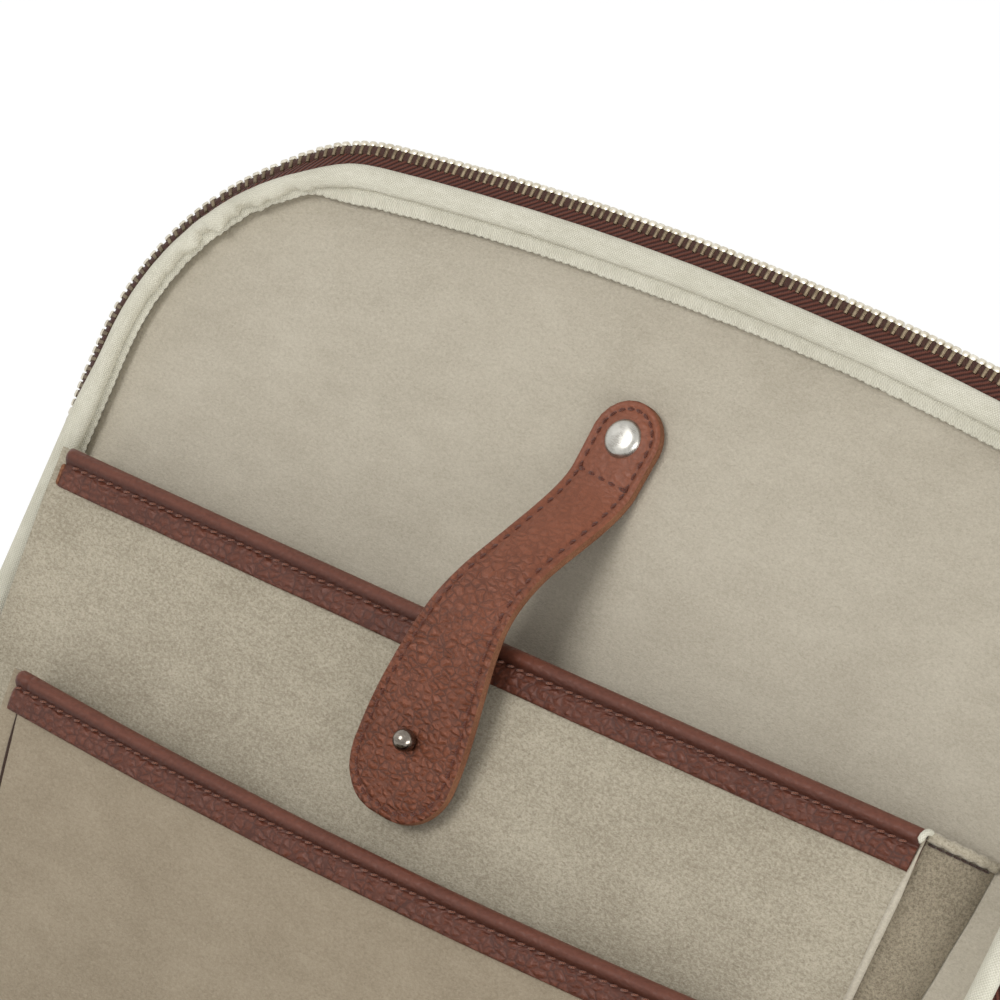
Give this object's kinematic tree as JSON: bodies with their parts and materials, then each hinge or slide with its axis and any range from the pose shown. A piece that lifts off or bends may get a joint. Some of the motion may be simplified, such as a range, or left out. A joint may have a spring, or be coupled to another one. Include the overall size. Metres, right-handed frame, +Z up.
{
  "type": "jewellery case",
  "caption": "Zip-around leather jewellery case standing open: box base with dividers and ring rolls, hinged lid with suede pockets and a stud strap.",
  "frame": {"origin": "centre of the base's underside, on the floor", "axes": "+Z up, +X along the hinge, +Y towards the hinge at the back"},
  "size_m": [0.2868, 0.3964, 0.2605],
  "materials": {
    "leather": "pebbled",
    "board": "matt",
    "suede": "napped",
    "cotton": "woven",
    "zip_tape": "herringbone weave",
    "metal": "polished",
    "foam": "soft"
  },
  "bodies": {
    "base": {"base_outer_leather": "leather", "base_board": "board", "base_lining": "suede", "base_binding": "cotton", "base_zip_tape": "zip_tape", "base_zip_teeth": "metal", "base_zip_stops": "metal", "hinge_leather": "leather", "hinge_cord": "cotton", "divider_long": "suede", "divider_cross": "suede", "divider_side": "suede", "divider_front": "suede", "ring_bed": "foam", "ring_rolls": "foam"},
    "lid": {"lid_outer_leather": "leather", "lid_board": "board", "lid_lining": "suede", "lid_binding": "cotton", "lid_zip_tape": "zip_tape", "lid_zip_teeth": "metal", "lid_zip_stops": "metal", "upper_pocket_front": "suede", "upper_pocket_trim": "leather", "upper_pocket_gusset_left": "suede", "upper_pocket_gusset_right": "suede", "lower_pocket_front": "suede", "lower_pocket_trim": "leather", "lower_pocket_gusset_left": "suede", "lower_pocket_gusset_right": "suede", "strap_root": "leather", "rivet_cap": "metal", "rivet_back": "metal", "stud_post": "metal", "stud_washer": "metal"},
    "strap": {"strap_face": "leather", "strap_backing": "leather"},
    "slider": {"zip_slider": "metal"},
    "pull": {"zip_pull": "leather"}
  },
  "joints": [
    {"name": "lid_hinge", "type": "hinge", "parent": "base", "child": "lid", "pos_m": [0, 0.1172, 0.08], "axis": [1, 0, 0], "range_deg": [0, 130]},
    {"name": "strap_lift", "type": "hinge", "parent": "lid", "child": "strap", "pos_m": [0.00024, 0.23665, 0.21636], "axis": [0.9968, -0.0515, -0.0614], "range_deg": [-25, 0]},
    {"name": "slider_run", "type": "slide", "parent": "base", "child": "slider", "axis": [0.0348, -0.9994, 0], "range_m": [0, 0.1]},
    {"name": "pull_swing", "type": "hinge", "parent": "slider", "child": "pull", "pos_m": [0.14208, 0.07072, 0.07484], "axis": [0.0348, -0.9994, 0], "range_deg": [0, 100]}
  ]
}
